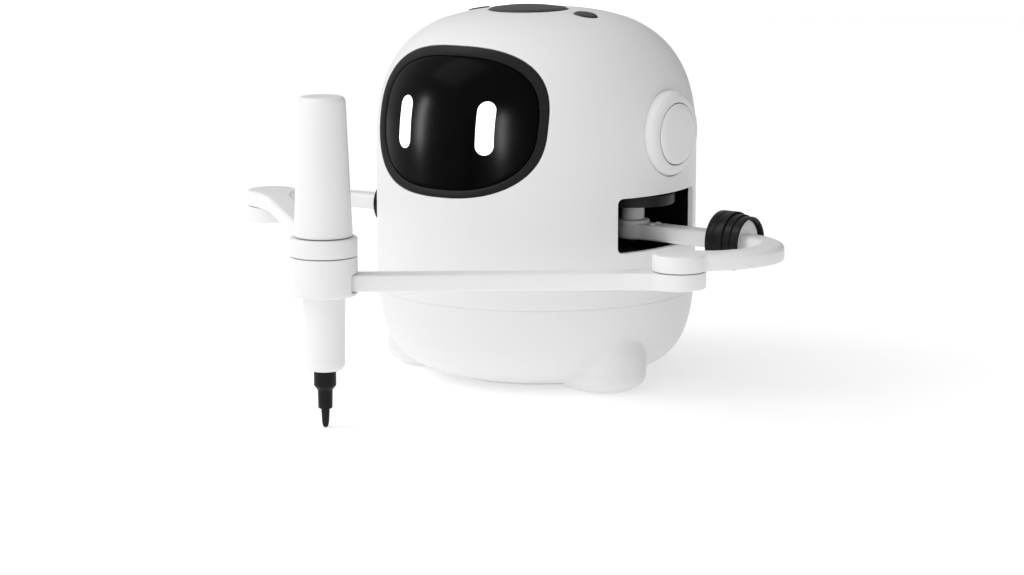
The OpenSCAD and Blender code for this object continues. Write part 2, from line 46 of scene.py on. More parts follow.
FACE_HALF, FACE_LOW, FACE_HIGH, FACE_N, BEZEL = 43.8, 82.8, 143.6, 2.6, 3.1
EAR_Y, EAR_Z, EAR_R = 2.6, 107.0, 17.6
EYE_X, EYE_Z, EYE_HALF, EYE_STRAIGHT = 21.05, 112.0, 3.9, 7.1
SLOT, SLOT_CORNER = (-27.7, 26.5, 60.2, 82.6), 2.2
KEY, KEY_HOLE_R = (28.0, -3.4), 5.1
DISC_Y, DISC_HOLE_R = -5.4, 17.1
SHOULDER, ELBOW, PEN = np.array([46.0, 6.0]), np.array([106.6, -50.0]), np.array([0.0, -138.0])
PEN_AXIS = (*PEN, 0.0)
ARM_LOW, ARM_HIGH, ARM_T = 61.4, 68.0, 6.6
ARM_AXIS = (0, 6.0, 64.7)
ELBOW_R = 10.6
LOW_Z, HIGH_Z = 54.4, 68.4
FORE_DIR = (ELBOW - PEN) / np.linalg.norm(ELBOW - PEN)
CUFF_X = {1: 89.4, -1: 72.4}
SIDES = ((1, "left"), (-1, "right"))


# ---- materials -----------------------------------------------------------------------
def node(tree, kind, **values):
    made = tree.nodes.new(kind)
    for key, value in values.items():
        setattr(made, key, value)
    return made


def material(name, colour, rough, metal=0.0, coat=0.0, coat_rough=0.1, spec=0.5,
             grain=2200.0, height=0.00002, mottle=0.03, rough_span=0.06, stretch=(1, 1, 1),
             emit=None, glow=0.0, sub=0.0):
    """Moulded or machined surface: colour mottling, uneven gloss and a fine grain in relief."""
    mat = bpy.data.materials.new(name)
    mat.use_nodes = True
    tree = mat.node_tree
    link = tree.links.new
    bsdf = tree.nodes["Principled BSDF"]
    bsdf.inputs["Metallic"].default_value = metal
    bsdf.inputs["Coat Weight"].default_value = coat
    bsdf.inputs["Coat Roughness"].default_value = coat_rough
    bsdf.inputs["Specular IOR Level"].default_value = spec
    if sub:
        bsdf.inputs["Subsurface Weight"].default_value = sub
        bsdf.inputs["Subsurface Radius"].default_value = (0.004, 0.0038, 0.0036)
        bsdf.inputs["Subsurface Scale"].default_value = 0.4
    if emit:
        bsdf.inputs["Emission Color"].default_value = (*emit, 1)
        bsdf.inputs["Emission Strength"].default_value = glow
    place = node(tree, "ShaderNodeTexCoord")
    scale = node(tree, "ShaderNodeMapping")
    scale.inputs["Scale"].default_value = stretch
    link(place.outputs["Object"], scale.inputs["Vector"])
    cloud = node(tree, "ShaderNodeTexNoise")
    cloud.inputs["Scale"].default_value = 38.0
    cloud.inputs["Detail"].default_value = 3.0
    link(place.outputs["Object"], cloud.inputs["Vector"])
    shade = node(tree, "ShaderNodeMix", data_type="RGBA")
    shade.inputs["A"].default_value = (*[c * (1 - mottle) for c in colour], 1)
    shade.inputs["B"].default_value = (*[min(1, c * (1 + mottle)) for c in colour], 1)
    link(cloud.outputs["Fac"], shade.inputs["Factor"])
    link(shade.outputs["Result"], bsdf.inputs["Base Color"])
    fine = node(tree, "ShaderNodeTexNoise")
    fine.inputs["Scale"].default_value = grain
    fine.inputs["Detail"].default_value = 2.0
    link(scale.outputs["Vector"], fine.inputs["Vector"])
    gloss = node(tree, "ShaderNodeMapRange")
    gloss.inputs["From Min"].default_value = 0.3
    gloss.inputs["From Max"].default_value = 0.7
    gloss.inputs["To Min"].default_value = max(0.02, rough - rough_span)
    gloss.inputs["To Max"].default_value = min(1.0, rough + rough_span)
    link(cloud.outputs["Fac"], gloss.inputs["Value"])
    link(gloss.outputs["Result"], bsdf.inputs["Roughness"])
    bump = node(tree, "ShaderNodeBump")
    bump.inputs["Strength"].default_value = 1.0
    bump.inputs["Distance"].default_value = height
    link(fine.outputs["Fac"], bump.inputs["Height"])
    link(bump.outputs["Normal"], bsdf.inputs["Normal"])
    return mat


def board_material(name):
    """Green lacquered circuit board with copper tracks just showing under the lacquer."""
    mat = material(name, (0.012, 0.11, 0.04), 0.32, coat=0.5, grain=900.0, height=0.00003)
    tree = mat.node_tree
    bsdf = tree.nodes["Principled BSDF"]
    place = node(tree, "ShaderNodeTexCoord")
    brick = node(tree, "ShaderNodeTexBrick")
    brick.inputs["Scale"].default_value = 160.0
    brick.inputs["Mortar Size"].default_value = 0.035
    brick.inputs["Color1"].default_value = (0.012, 0.11, 0.04, 1)
    brick.inputs["Color2"].default_value = (0.016, 0.13, 0.05, 1)
    brick.inputs["Mortar"].default_value = (0.05, 0.24, 0.08, 1)
    tree.links.new(place.outputs["Object"], brick.inputs["Vector"])
    tree.links.new(brick.outputs["Color"], bsdf.inputs["Base Color"])
    return mat


M = {
    "white_plastic": material("shell_white", (0.80, 0.80, 0.803), 0.42, grain=2600, height=0.000012,
                              mottle=0.006, rough_span=0.03, sub=0.08),
    "white_arm": material("arm_white", (0.82, 0.82, 0.82), 0.38, grain=2400, height=0.000012,
                          mottle=0.008, rough_span=0.04, sub=0.08),
    "white_pen": material("pen_white", (0.83, 0.83, 0.83), 0.36, grain=2000, height=0.000012,
                          mottle=0.008, rough_span=0.04, sub=0.08),
    "black_satin": material("satin_black", (0.008, 0.008, 0.0084), 0.36, spec=0.14, grain=3000,
                            height=0.00002, mottle=0.15, rough_span=0.05),
    "black_gloss": material("gloss_black", (0.0012, 0.0012, 0.0014), 0.2, spec=0.03, grain=300,
                            height=0.000002, mottle=0.1, rough_span=0.02),
    "eye_light": material("eye_glow", (0.9, 0.9, 0.9), 0.35, grain=900, height=0.000004,
                          mottle=0.01, emit=(1.0, 1.0, 1.0), glow=1.15),
    "black_rubber": material("pad_rubber", (0.025, 0.025, 0.026), 0.8, grain=1500,
                             height=0.00006, mottle=0.25, spec=0.3),
    "black_felt": material("ink_fibre", (0.008, 0.008, 0.009), 0.75, grain=5200,
                           height=0.00005, mottle=0.3, stretch=(1, 1, 0.2), spec=0.3),
    "key_black": material("key_satin", (0.026, 0.026, 0.027), 0.4, spec=0.4, grain=3000, height=0.00002,
                          mottle=0.12),
    "cuff_black": material("cuff_rubber", (0.003, 0.003, 0.0032), 0.2, spec=0.17, grain=2600, height=0.00001,
                           mottle=0.12, rough_span=0.04),
    "slot_black": material("slot_lining", (0.003, 0.003, 0.0032), 0.6, spec=0.12, grain=2400,
                           height=0.00002, mottle=0.15),
    "dark_grey": material("grey_satin", (0.013, 0.013, 0.014), 0.42, spec=0.25, grain=2600,
                          height=0.00002, mottle=0.12),
    "steel": material("brushed_steel", (0.58, 0.58, 0.6), 0.28, metal=1.0, grain=1400,
                      height=0.00001, mottle=0.06, stretch=(1, 1, 0.06), rough_span=0.08),
    "motor_steel": material("motor_can", (0.5, 0.5, 0.51), 0.36, metal=1.0, grain=1700,
                            height=0.00001, mottle=0.08, stretch=(1, 1, 0.1), rough_span=0.08),
    "acetal": material("natural_acetal", (0.78, 0.77, 0.72), 0.3, grain=2100, height=0.00001,
                       mottle=0.02, sub=0.1),
    "servo_blue": material("servo_case", (0.015, 0.045, 0.22), 0.25, coat=0.4, grain=1800,
                           height=0.00001, mottle=0.1),
    "board_green": board_material("board_green_lacquer"),
    "battery_blue": material("battery_wrap", (0.03, 0.12, 0.36), 0.3, coat=0.6, grain=260,
                             height=0.00012, mottle=0.08),
    "speaker_black": material("speaker_cone", (0.02, 0.02, 0.02), 0.7, grain=3200,
                              height=0.00006, mottle=0.2),
}


# ---- mesh tools ----------------------------------------------------------------------
def build(name, parts, slot, body, nodes=(), sharp=32.0, mat=None):
    """One piece from (vertices, faces) parts in millimetres, riding on body, in place of nodes."""
    verts, faces = [], []
    for v, f in parts:
        base = len(verts)
        verts += [tuple(p) for p in np.asarray(v, float) * 0.001]
        faces += [tuple(int(i) + base for i in q) for q in f]
    mesh = bpy.data.meshes.new(name)
    mesh.from_pydata(verts, [], faces)
    mesh.validate()
    bm = bmesh.new()
    bm.from_mesh(mesh)
    bmesh.ops.remove_doubles(bm, verts=bm.verts, dist=1e-7)
    bmesh.ops.recalc_face_normals(bm, faces=bm.faces)
    bm.to_mesh(mesh)
    bm.free()
    mesh.shade_smooth()
    mesh.set_sharp_from_angle(angle=math.radians(sharp))
    obj = bpy.data.objects.new(name, mesh)
    bpy.context.scene.collection.objects.link(obj)
    mesh.materials.append(M[mat or slot])
    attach(obj, body)
    if nodes:
        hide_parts(*nodes)
    return obj


def rings_to_mesh(rings, cap_first=True, cap_last=True):
    """Quads between equal rings of points, with the end rings closed by one face each."""
    n = len(rings[0])
    verts = np.concatenate([np.asarray(r, float) for r in rings])
    faces = []
    for k in range(len(rings) - 1):
        a, b = k * n, (k + 1) * n
        faces += [(a + i, a + (i + 1) % n, b + (i + 1) % n, b + i) for i in range(n)]
    if cap_first:
        faces.append(tuple(range(n - 1, -1, -1)))
    if cap_last:
        base = (len(rings) - 1) * n
        faces.append(tuple(range(base, base + n)))
    return verts, faces


def rounded(points, steps=5):
    """A polyline of (r, h, radius) corners as (r, h) points with each corner rounded."""
    out = []
    pts = [np.array(p[:2], float) for p in points]
    for i, p in enumerate(points):
        rad = p[2] if len(p) > 2 else 0.0
        if rad <= 0 or i in (0, len(points) - 1):
            out.append(pts[i])
            continue
        a, b = pts[i - 1] - pts[i], pts[i + 1] - pts[i]
        la, lb = np.linalg.norm(a), np.linalg.norm(b)
        a, b = a / la, b / lb
        half = math.acos(float(np.clip(a @ b, -1, 1))) / 2
        cut = min(rad / math.tan(half), 0.49 * la, 0.49 * lb)
        rad = cut * math.tan(half)
        centre = pts[i] + (a + b) / np.linalg.norm(a + b) * rad / math.sin(half)
        start, end = pts[i] + a * cut - centre, pts[i] + b * cut - centre
        t0 = math.atan2(start[1], start[0])
        dt = (math.atan2(end[1], end[0]) - t0 + math.pi) % (2 * math.pi) - math.pi
        out += [centre + rad * np.array([math.cos(t0 + dt * k / steps), math.sin(t0 + dt * k / steps)])
                for k in range(steps + 1)]
    return out


def lathe(profile, n=128, axis="z", at=(0, 0, 0), closed=False, side=1, wave=None):
    """A turned solid: profile (r, h), round the z axis or the x axis through a point."""
    prof = [(max(p[0], 0.0), p[1]) for p in profile]
    ang = np.linspace(0, 2 * math.pi, n, endpoint=False)
    rings = []
    for r, h in prof:
        rr = np.full(n, r) if wave is None else np.array([wave(r, h, a) for a in ang])
        c, s, hh = rr * np.cos(ang), rr * np.sin(ang), np.full(n, h)
        rings.append(np.stack([c, s, hh] if axis == "z" else [side * hh, c, s], 1) + np.array(at))
    if closed:
        rings.append(rings[0])
        return rings_to_mesh(rings, cap_first=False, cap_last=False)
    return rings_to_mesh(rings, cap_first=prof[0][0] > 1e-6, cap_last=prof[-1][0] > 1e-6)


# ---- the body's outline --------------------------------------------------------------
def quarter(n, k=700):
    """Quarter of a squared circle from (1, 0) to (0, 1)."""
    w = np.linspace(0, 2.0 ** (-1 / n), k)
    a = np.stack([(1 - w ** n) ** (1 / n), w], 1)
    return np.concatenate([a, a[::-1, ::-1][1:]])


class Outline:
    """Half section of a turned skin from its top end down: places and normals by arc length."""

    def __init__(self, points, start=0.0):
        self.p = np.asarray(points, float)
        step = np.linalg.norm(np.diff(self.p, axis=0), axis=1)
        self.p = self.p[np.concatenate([[True], step > 1e-9])]
        step = np.linalg.norm(np.diff(self.p, axis=0), axis=1)
        self.s = np.concatenate([[0], np.cumsum(step)])
        t = np.gradient(self.p, self.s, axis=0)
        t /= np.linalg.norm(t, axis=1)[:, None]
        self.n = np.stack([-t[:, 1], t[:, 0]], 1)
        self.s = self.s + start

    def place(self, s):
        return [np.interp(s, self.s, self.p[:, k]) for k in (0, 1)]

    def point(self, s, th, depth=0.0):
        r, z = self.place(s)
        nr, nz = [np.interp(s, self.s, self.n[:, k]) for k in (0, 1)]
        rr = r - depth * nr
        return np.stack([rr * np.cos(th), rr * np.sin(th), z - depth * nz], -1)

    def at_z(self, z):
        return np.interp(-np.asarray(z, float), -self.p[:, 1], self.s)

    def at_r(self, r, below):
        keep = self.s < below
        return np.interp(r, self.p[keep, 0], self.s[keep])


dome_q = quarter(DOME_N)[::-1] * [BODY_R, TOP_Z - DOME_Z] + [0, DOME_Z]
bowl_q = quarter(BOWL_N) * [BODY_R, -(BOWL_Z - BOTTOM_Z)] + [0, BOWL_Z]
side_q = np.stack([np.full(60, BODY_R), np.linspace(DOME_Z, BOWL_Z, 60)], 1)
SKIN = Outline(np.concatenate([dome_q, side_q[1:], bowl_q[1:]]))


def front(x, z):
    """(s, angle) on the body's skin of a place in the front view."""
    s = SKIN.at_z(z)
    r = SKIN.place(s)[0]
    return s, np.arctan2(-np.sqrt(np.maximum(r * r - x * x, 0)), x)


def flank(y, z, side):
    s = SKIN.at_z(z)
    r = SKIN.place(s)[0]
    return s, np.arctan2(y, side * np.sqrt(np.maximum(r * r - y * y, 0)))


def above(x, y):
    return SKIN.at_r(np.hypot(x, y), 60.0), np.arctan2(y, x)


def squircle(hw, hh, n, k=1600):
    a = (np.arange(k) + 0.5) * 2 * np.pi / k
    c, s = np.cos(a), np.sin(a)
    return hw * np.sign(c) * np.abs(c) ** (2 / n), hh * np.sign(s) * np.abs(s) ** (2 / n)


def even_loop(outline, s, th, gap):
    """A closed loop on the skin, with its points spread evenly."""
    s, th = np.append(s, s[0]), np.unwrap(np.append(th, th[0]))
    p = outline.point(s, th)
    d = np.concatenate([[0], np.cumsum(np.linalg.norm(np.diff(p, axis=0), axis=1))])
    n = max(24, int(round(d[-1] / gap)))
    t = np.linspace(0, d[-1], n, endpoint=False)
    return np.interp(t, d, s), np.interp(t, d, th)


def flat(s, th):
    return np.stack([s * np.cos(th), s * np.sin(th)], -1)


def widen(outline, s, th, d, grow):
    """The loop moved by d along the skin, away from the hole it bounds."""
    r = np.maximum(outline.place(s)[0], 0.5)
    ds = (np.roll(s, -1) - np.roll(s, 1)) / 2
    dt = (np.roll(th, -1) - np.roll(th, 1) + np.pi) % (2 * np.pi) - np.pi
    dt = r * dt / 2
    size = np.hypot(ds, dt)
    return s + grow * d * dt / size, th - grow * d * ds / size / r


def inside(points, loop):
    """Which points of the plane are inside a closed loop."""
    x, y = points[:, 0], points[:, 1]
    hit = np.zeros(len(points), bool)
    for (x0, y0), (x1, y1) in zip(loop, np.roll(loop, -1, axis=0)):
        if y0 == y1:
            continue
        cross = ((y0 > y) != (y1 > y)) & (x < (x1 - x0) * (y - y0) / (y1 - y0) + x0)
        hit ^= cross
    return hit


def skin_panel(outline, s0, s1, holes, wall, edge, spacing, seam_n=420, seam_edge=None):
    """A turned skin between two arc lengths, with rounded openings and a wall inside.
    holes are (s, angle) loops. Its own ends are rounded the same way."""
    loops = []  # s, angle, direction away from the opening, and the radius of its edge
    seam_edge = seam_edge or edge
    for s, th in holes:
        f = flat(s, th)
        area = np.sum(f[:, 0] * np.roll(f[:, 1], -1) - np.roll(f[:, 0], -1) * f[:, 1])
        loops.append((s, th, 1.0 if area > 0 else -1.0, True, edge))
    ring = np.linspace(0, 2 * np.pi, seam_n, endpoint=False)
    loops.append((np.full(seam_n, s1), ring, -1.0, False, seam_edge))
    if s0 > 0 and outline.p[0, 0] > 1e-3:
        loops.append((np.full(seam_n, s0), ring, 1.0, True, edge))
    pts, cons, hole_loops, starts = [], [], [], []
    count = 0
    for s, th, grow, is_hole, lip in loops:
        # two guard rings lie outside each edge, except round a hole with too few points for them
        small = is_hole and len(s) <= 60
        for guard in (0.0,) if small else (0.0, 0.5, 1.2):
            ws, wt = widen(outline, s, th, lip + guard * spacing, grow)
            if guard == 0.0:
                n = len(ws)
                cons += [(count + i, count + (i + 1) % n) for i in range(n)]
                starts.append(count)
                hole_loops.append(flat(ws, wt))
            pts.append(np.stack([ws, wt], 1))
            count += len(ws)
    edges_at = np.concatenate([outline.point(*widen(outline, s, th, lip, grow))
                               for s, th, grow, _, lip in loops])
    grid = []
    rows = int((s1 - s0) / spacing)
    for k in range(rows + 1):
        s = s0 + (s1 - s0) * k / rows
        n = max(1, int(round(2 * math.pi * outline.place(s)[0] / spacing)))
        t = (np.arange(n) + 0.5 * (k % 2)) * 2 * math.pi / n
        grid.append(np.stack([np.full(n, s), t], 1))
    grid = np.concatenate(grid)
    g3 = outline.point(grid[:, 0], grid[:, 1])
    near = np.full(len(g3), 1e9)
    for k in range(0, len(g3), 800):
        near[k:k + 800] = np.sqrt(((g3[k:k + 800, None] - edges_at[None]) ** 2).sum(2).min(1))
    keep = near > 1.9 * spacing
    gf = flat(grid[:, 0], grid[:, 1])
    for k, (s, th, grow, is_hole, lip) in enumerate(loops):
        if is_hole:
            keep &= ~inside(gf, hole_loops[k])
    grid = grid[keep]
    params = np.concatenate(pts + [grid])
    flat_pts = flat(params[:, 0], params[:, 1])
    res = delaunay_2d_cdt([Vector(p) for p in flat_pts], cons, [], 0, 1e-7, True)
    first = [o[0] for o in res[3]]
    tris = np.array([[first[i] for i in f] for f in res[2]])
    mid = flat_pts[tris].mean(1)
    bad = np.zeros(len(tris), bool)
    for k, (s, th, grow, is_hole, lip) in enumerate(loops):
        if is_hole:
            bad |= inside(mid, hole_loops[k])
        else:
            bad |= ~inside(mid, hole_loops[k])
    tris = tris[~bad]
    n = len(params)
    outer = outline.point(params[:, 0], params[:, 1])
    inner = outline.point(params[:, 0], params[:, 1], wall)
    verts = [outer, inner]
    faces = [tuple(t) for t in tris] + [tuple(n + i for i in t[::-1]) for t in tris]
    base = 2 * n
    for (s, th, grow, _, lip), start in zip(loops, starts):
        m = len(s)
        rows = [start + np.arange(m)]
        for phi in (22.5, 45, 67.5, 90):
            a = math.radians(phi)
            ws, wt = widen(outline, s, th, lip * (1 - math.sin(a)), grow)
            verts.append(outline.point(ws, wt, lip * (1 - math.cos(a))))
            rows.append(base + np.arange(m))
            base += m
        verts.append(outline.point(s, th, wall))
        rows.append(base + np.arange(m))
        base += m
        rows.append(n + start + np.arange(m))
        for a, b in zip(rows, rows[1:]):
            faces += [(a[i], a[(i + 1) % m], b[(i + 1) % m], b[i]) for i in range(m)]
    return np.concatenate(verts), faces


# ---- shells --------------------------------------------------------------------------
face_x, face_z = squircle(FACE_HALF, (FACE_HIGH - FACE_LOW) / 2, FACE_N)
FACE_MID = (FACE_HIGH + FACE_LOW) / 2
holes = [even_loop(SKIN, *front(face_x, face_z + FACE_MID), 0.9)]
turn = np.linspace(0, 2 * np.pi, 720, endpoint=False)


def ring_points(x, y, r):
    return x + r * np.cos(turn), y + r * np.sin(turn)


def round_box(y0, y1, z0, z1, r, k=24):
    out = []
    corners = ((y1 - r, z1 - r, 0), (y0 + r, z1 - r, 90), (y0 + r, z0 + r, 180), (y1 - r, z0 + r, 270))
    for cy, cz, a0 in corners:
        a = np.radians(a0 + np.linspace(0, 90, k))
        out.append(np.stack([cy + r * np.cos(a), cz + r * np.sin(a)], 1))
    p = np.concatenate(out)
    ends = zip(p, np.roll(p, -1, axis=0))
    p = np.concatenate([np.linspace(a, b, 12, endpoint=False) for a, b in ends])
    return p[:, 0], p[:, 1]


for side in (1, -1):
    slot_y, slot_z = round_box(*SLOT, SLOT_CORNER)
    holes.append(even_loop(SKIN, *flank(slot_y, slot_z, side), 0.7))
    ear_y, ear_z = ring_points(EAR_Y, EAR_Z, EAR_R + 0.1)
    holes.append(even_loop(SKIN, *flank(ear_y, ear_z, side), 0.8))
    holes.append(even_loop(SKIN, *above(*ring_points(side * KEY[0], KEY[1], KEY_HOLE_R)), 0.6))
holes.append(even_loop(SKIN, *above(*ring_points(0, DISC_Y, DISC_HOLE_R)), 0.8))
s_seam = float(SKIN.at_z(SEAM_Z))
HAIR = 0.07  # radius of both shells' edges at the seam
dome = skin_panel(SKIN, 0.0, s_seam, holes, WALL, 0.42, 1.6, seam_edge=HAIR)
build("dome_shell", [dome], "white_plastic", "body", ("upper_shell",), sharp=50)


def smooth_min(a, b, k):
    h = np.clip(0.5 + 0.5 * (b - a) / k, 0, 1)
    return b + (a - b) * h - k * h * (1 - h)


def bowl_distance(p):
    r = np.hypot(p[:, 0], p[:, 1])
    u = np.maximum(r / BODY_R, 1e-6)
    w = np.maximum((BOWL_Z - p[:, 2]) / (BOWL_Z - BOTTOM_Z), 1e-6)
    f = (u ** BOWL_N + w ** BOWL_N) ** (1 / BOWL_N)
    gu = (u / f) ** (BOWL_N - 1) / BODY_R
    gw = (w / f) ** (BOWL_N - 1) / (BOWL_Z - BOTTOM_Z)
    return (f - 1) / np.hypot(gu, gw)


FOOT_AZ = math.radians(-18.5)
FOOT_OUT, FOOT_SIDE, FOOT_Z = 45.5, 0.3, 8.0
FOOT_HALF = (21.5, 17.2)
FOOT_UP, FOOT_DOWN, FOOT_N = 31.0, 9.2, 2.3


def foot_distance(p):
    """A squared egg standing out of the bowl on each side, flat where it meets the table."""
    x, y = np.abs(p[:, 0]), p[:, 1]
    c, n = (math.cos(FOOT_AZ), math.sin(FOOT_AZ)), FOOT_N
    a = np.abs(c[0] * x + c[1] * y - FOOT_OUT) / FOOT_HALF[0]
    b = np.abs(-c[1] * x + c[0] * y - FOOT_SIDE) / FOOT_HALF[1]
    up = np.where(p[:, 2] > FOOT_Z, FOOT_UP, FOOT_DOWN)
    w = np.abs(p[:, 2] - FOOT_Z) / up
    f = np.maximum((a ** n + b ** n + w ** n) ** (1 / n), 1e-6)
    ga, gb = (a / f) ** (n - 1) / FOOT_HALF[0], (b / f) ** (n - 1) / FOOT_HALF[1]
    gw = (w / f) ** (n - 1) / up
    egg = (f - 1) / np.sqrt(ga * ga + gb * gb + gw * gw)
    return -smooth_min(-egg, p[:, 2], 1.2)


BASE_REACH = 38.0  # arc length from the bottom's middle to the opening for the base plate
RAY_REACH = 26.0


def bottom_skin():
    """The bowl with both feet grown out of it, as one skin with a wall inside."""
    s_end = float(SKIN.s[-1] - BASE_REACH)
    s_top = s_seam + 0.04
    ease = np.linspace(0, 1, 96)
    s = s_top + HAIR + (s_end - s_top - HAIR) * ease
    w = np.linspace(0, 2 * np.pi, 2401)
    dense = 1 + 1.6 * (np.exp(-(((w + 0.30 + np.pi) % (2 * np.pi) - np.pi) / 0.42) ** 2)
                       + np.exp(-((w - np.pi - 0.30) / 0.42) ** 2))
    cum = np.concatenate([[0], np.cumsum((dense[1:] + dense[:-1]) / 2)])
    th = np.interp(np.linspace(0, cum[-1], 520, endpoint=False), cum, w)
    S, T = np.meshgrid(s, th, indexing="ij")
    base = SKIN.point(S.ravel(), T.ravel())
    d = base - np.array([0, 0, SEAM_Z])
    d /= np.linalg.norm(d, axis=1)[:, None]
    lo, hi = np.zeros(len(base)), np.full(len(base), RAY_REACH)
    for _ in range(30):
        mid = (lo + hi) / 2
        p = base + d * mid[:, None]
        full = smooth_min(bowl_distance(p), foot_distance(p), 0.9)
        lo, hi = np.where(full < 0, mid, lo), np.where(full < 0, hi, mid)
    t = (lo + hi) / 2
    t[t < 1e-3] = 0
    outer = (base + d * t[:, None]).reshape(len(s), len(th), 3)
    rings = []
    inner_s = np.linspace(s_end, s_top + HAIR, 40)
    for a in (90, 67.5, 45, 22.5):
        a = math.radians(a)
        edge_s = np.full(len(th), s_top + HAIR * (1 - math.sin(a)))
        rings.append(SKIN.point(edge_s, th, HAIR * (1 - math.cos(a))))
    rings += list(outer)
    rings += [SKIN.point(np.full(len(th), v), th, WALL) for v in inner_s]
    rings.append(SKIN.point(np.full(len(th), s_top), th, WALL))
    rings.append(rings[0])
    return rings_to_mesh(rings, cap_first=False, cap_last=False)


bowl = build("bowl_shell_with_feet", [bottom_skin()], "white_plastic", "body",
             ("lower_shell", "foot_left", "foot_right"), sharp=50)


def cut_through(obj, outline, y0, y1, sharp):
    """Cut a prism along y, with an (x, z) outline in millimetres, out of a piece."""
    x, z = outline
    verts, faces = rings_to_mesh([np.stack([x, np.full(len(x), y), z], 1) for y in (y0, y1)])
    mesh = bpy.data.meshes.new("cutter")
    mesh.from_pydata([tuple(p) for p in verts * 0.001], [], faces)
    bm = bmesh.new()
    bm.from_mesh(mesh)
    bmesh.ops.recalc_face_normals(bm, faces=bm.faces)
    bm.to_mesh(mesh)
    bm.free()
    cutter = bpy.data.objects.new("cutter", mesh)
    bpy.context.scene.collection.objects.link(cutter)
    cut = obj.modifiers.new("cut", "BOOLEAN")
    cut.object, cut.operation, cut.solver = cutter, "DIFFERENCE", "EXACT"
    result = bpy.data.meshes.new_from_object(obj.evaluated_get(bpy.context.evaluated_depsgraph_get()))
    obj.modifiers.remove(cut)
    bpy.data.objects.remove(cutter)
    obj.data = result
    result.shade_smooth()
    result.set_sharp_from_angle(angle=math.radians(sharp))


# mouth of the power inlet at the rear
mouth_x, mouth_z = round_box(-4.7, 4.7, 22.2, 25.8, 1.7, 10)
cut_through(bowl, (mouth_x[::4], mouth_z[::4]), 56.0, 76.0, 40)


# ---- face ----------------------------------------------------------------------------
FACE_POINTS = 300


def resampled(s, th, depth):
    """A closed loop on the skin as evenly spread points at a depth below it."""
    p = SKIN.point(s, th)
    d = np.concatenate([[0], np.cumsum(np.linalg.norm(np.diff(np.vstack([p, p[:1]]), axis=0), axis=1))])
    u = np.linspace(0, d[-1], FACE_POINTS, endpoint=False)
    even_s, even_th = np.interp(u, d, np.append(s, s[0])), np.interp(u, d, np.append(th, th[0]))
    return SKIN.point(even_s, even_th, depth)


def face_loop(t, depth):
    """The face's outline drawn in by t, on the skin, at a depth below it."""
    x, z = squircle(FACE_HALF - t, (FACE_HIGH - FACE_LOW) / 2 - t, FACE_N)
    return resampled(*even_loop(SKIN, *front(x, z + FACE_MID), 0.5), depth)


bezel_rings = [face_loop(t, d) for t, d in (
    (0.15, 5.0), (0.15, 0.35), (0.2, 0.18), (0.34, 0.08), (0.6, 0.1), (1.4, 0.46), (2.1, 0.8), (2.7, 1.14),
    (2.95, 1.34), (3.07, 1.58), (BEZEL, 1.9), (BEZEL, 5.0))]
build("face_bezel", [rings_to_mesh(bezel_rings + bezel_rings[:1], cap_first=False, cap_last=False)],
      "black_satin", "body", ("bezel",), sharp=60)


def pane_sheet(rings, inset, rows, depth):
    """A sheet from its outer rings to the face's middle; depth depends on the size, 1 down to 0."""
    half, high = FACE_HALF - inset, (FACE_HIGH - FACE_LOW) / 2 - inset
    for k in range(1, rows):
        g = 1 - k / rows
        x, z = squircle(half * g, high * g, 2 + (FACE_N - 2) * g)
        rings.append(resampled(*even_loop(SKIN, *front(x, z + FACE_MID), 0.4), depth(g)))
    verts, faces = rings_to_mesh(rings, cap_first=False, cap_last=False)
    middle = len(verts)
    base = middle - FACE_POINTS
    faces += [(base + i, base + (i + 1) % FACE_POINTS, middle) for i in range(FACE_POINTS)]
    centre = SKIN.point(*front(np.array([0.0]), np.array([FACE_MID])), depth(0.0))
    return np.vstack([verts, centre]), faces


PANE_BACK = 3.6


def visor_skin():
    """A slightly bulging pane, its rim rounded, with a plain back."""
    t0 = BEZEL + 0.12
    rim = [face_loop(t0 + t, depth)
           for t, depth in ((0, PANE_BACK), (0, 2.1), (0.1, 1.82), (0.3, 1.68), (0.7, 1.6))]
    return [pane_sheet(rim, t0 + 0.7, 30, lambda g: 1.4 + 0.2 * g ** 3),
            pane_sheet([face_loop(t0, PANE_BACK)], t0, 12, lambda g: PANE_BACK)]


build("face_visor", visor_skin(), "black_gloss", "body", ("visor",), sharp=60)


EYE_EDGE = ((0.0, 3.4), (0.0, 1.5), (0.06, 1.36), (0.2, 1.27), (0.45, 1.24), (1.4, 1.22), (2.6, 1.21),
            (3.6, 1.2))  # drawn in by, depth


def eye_pane(x0):
    """An upright capsule that stands just proud of the pane."""
    a = np.radians(np.arange(0, 180, 7.5))
    rings = []
    for t, depth in EYE_EDGE:
        r = EYE_HALF - t
        up = np.stack([r * np.cos(a), EYE_STRAIGHT + r * np.sin(a)], 1)
        down = np.stack([-r * np.cos(a), -EYE_STRAIGHT - r * np.sin(a)], 1)
        left = np.stack([np.full(14, -r), np.linspace(EYE_STRAIGHT, -EYE_STRAIGHT, 14)], 1)
        right = np.stack([np.full(14, r), np.linspace(-EYE_STRAIGHT, EYE_STRAIGHT, 14)], 1)
        p = np.concatenate([up, left, down, right])
        rings.append(SKIN.point(*front(x0 + p[:, 0], EYE_Z + p[:, 1]), depth))
    return rings_to_mesh(rings)


for side, word in SIDES:
    build("eye_glow_" + word, [eye_pane(side * EYE_X)], "eye_light", "body", ("eye_" + word,))

